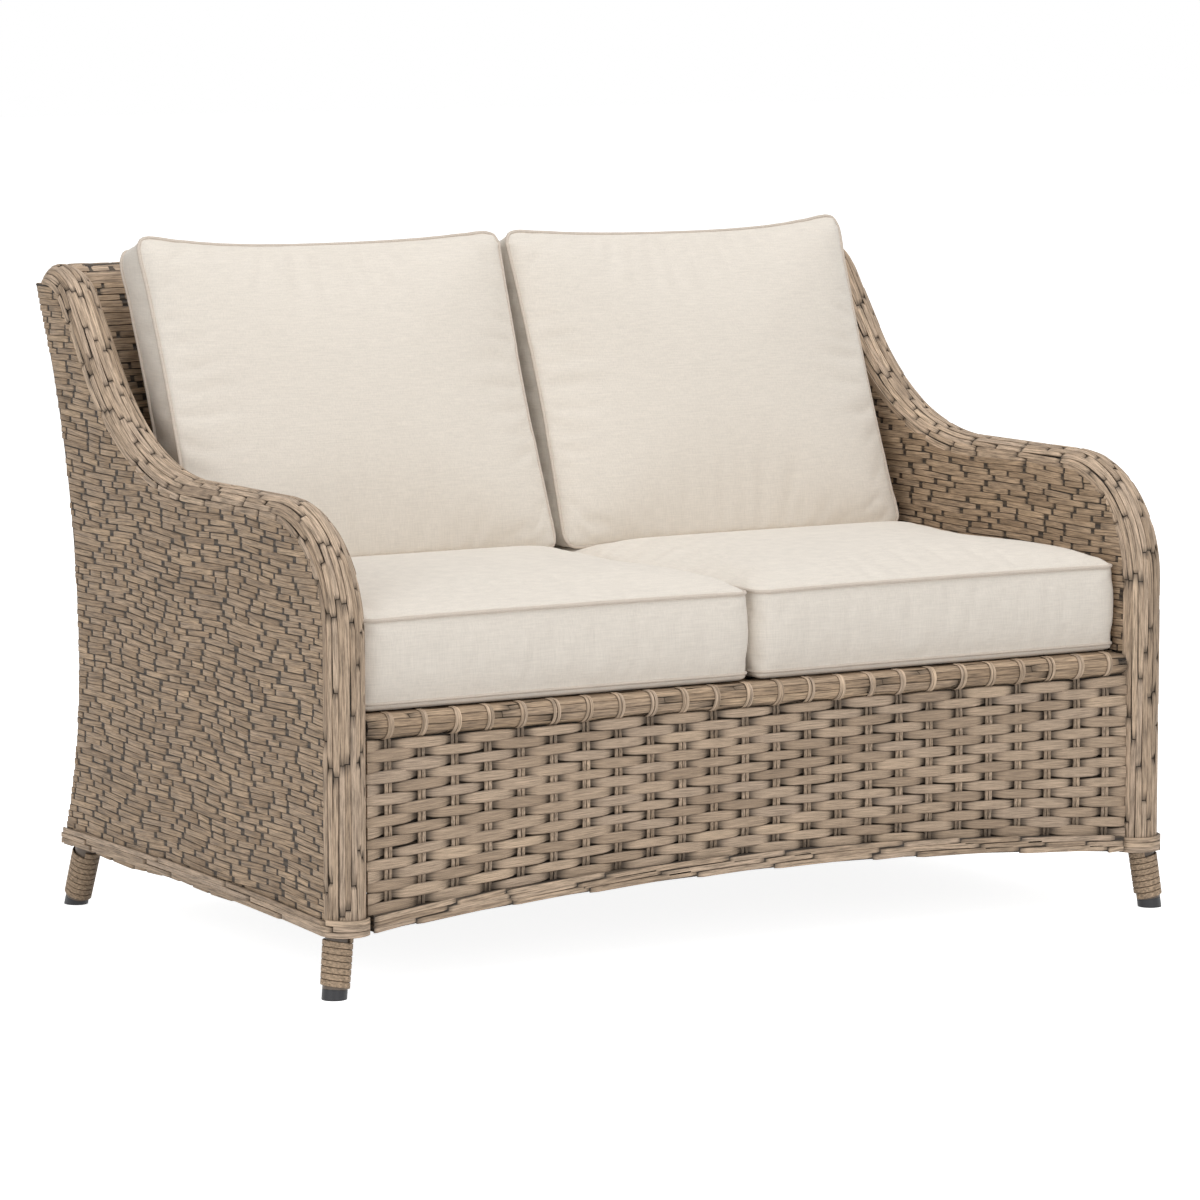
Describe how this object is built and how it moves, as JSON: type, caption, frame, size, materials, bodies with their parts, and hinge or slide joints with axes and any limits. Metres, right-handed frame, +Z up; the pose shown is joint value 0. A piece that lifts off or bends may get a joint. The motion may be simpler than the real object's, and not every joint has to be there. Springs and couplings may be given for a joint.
{
  "type": "patio loveseat",
  "caption": "Woven resin wicker loveseat for a patio, with rolled arms, an arched apron, wrapped legs and loose piped seat and back cushions.",
  "frame": {"origin": "on the floor, under the middle of the loveseat's bounding box", "axes": "+X to the right seen from the front, along the seat; the front faces -Y; +Z up"},
  "size_m": [1.3674, 0.9029, 0.9559],
  "materials": {
    "wicker": "matte",
    "frame": "matte",
    "leg_tube": "matte",
    "glide": "matte",
    "cushion_fabric": "matte"
  },
  "bodies": {
    "frame": {"left_arm_tube": "frame", "right_arm_tube": "frame", "rear_left_post": "frame", "rear_right_post": "frame", "front_legs": "leg_tube", "rear_legs": "leg_tube", "front_seat_rail": "frame", "rear_seat_rail": "frame", "left_seat_rail": "frame", "right_seat_rail": "frame", "deck_cross_bars": "frame", "front_base_rail": "frame", "rear_base_rail": "frame", "left_base_rail": "frame", "right_base_rail": "frame", "back_top_rail": "frame", "back_stiles": "frame", "lumbar_rail": "frame", "left_outer_panel": "wicker", "right_outer_panel": "wicker", "left_inner_panel": "wicker", "right_inner_panel": "wicker", "back_outer_panel": "wicker", "back_inner_panel": "wicker", "seat_deck": "wicker", "left_arm_cap": "wicker", "right_arm_cap": "wicker", "back_top_cap": "wicker", "front_rail_band": "wicker", "apron_stakes": "wicker", "apron_wefts": "wicker", "front_base_rim": "wicker", "rear_base_rim": "wicker", "left_base_rim": "wicker", "right_base_rim": "wicker", "front_leg_wraps": "wicker", "rear_leg_wraps": "wicker", "front_glides": "glide", "rear_glides": "glide"},
    "left_seat_cushion_body": {"left_seat_cushion": "cushion_fabric"},
    "right_seat_cushion_body": {"right_seat_cushion": "cushion_fabric"},
    "left_back_cushion_body": {"left_back_cushion": "cushion_fabric"},
    "right_back_cushion_body": {"right_back_cushion": "cushion_fabric"}
  },
  "joints": [
    {"name": "left_seat_cushion_slides_out", "type": "slide", "parent": "frame", "child": "left_seat_cushion_body", "axis": [0, -1, 0], "range_m": [0, 0.7]},
    {"name": "right_seat_cushion_slides_out", "type": "slide", "parent": "frame", "child": "right_seat_cushion_body", "axis": [0, -1, 0], "range_m": [0, 0.7]},
    {"name": "left_back_cushion_lifts_off", "type": "slide", "parent": "frame", "child": "left_back_cushion_body", "axis": [0, 0, 1], "range_m": [0, 0.5]},
    {"name": "right_back_cushion_lifts_off", "type": "slide", "parent": "frame", "child": "right_back_cushion_body", "axis": [0, 0, 1], "range_m": [0, 0.5]}
  ]
}
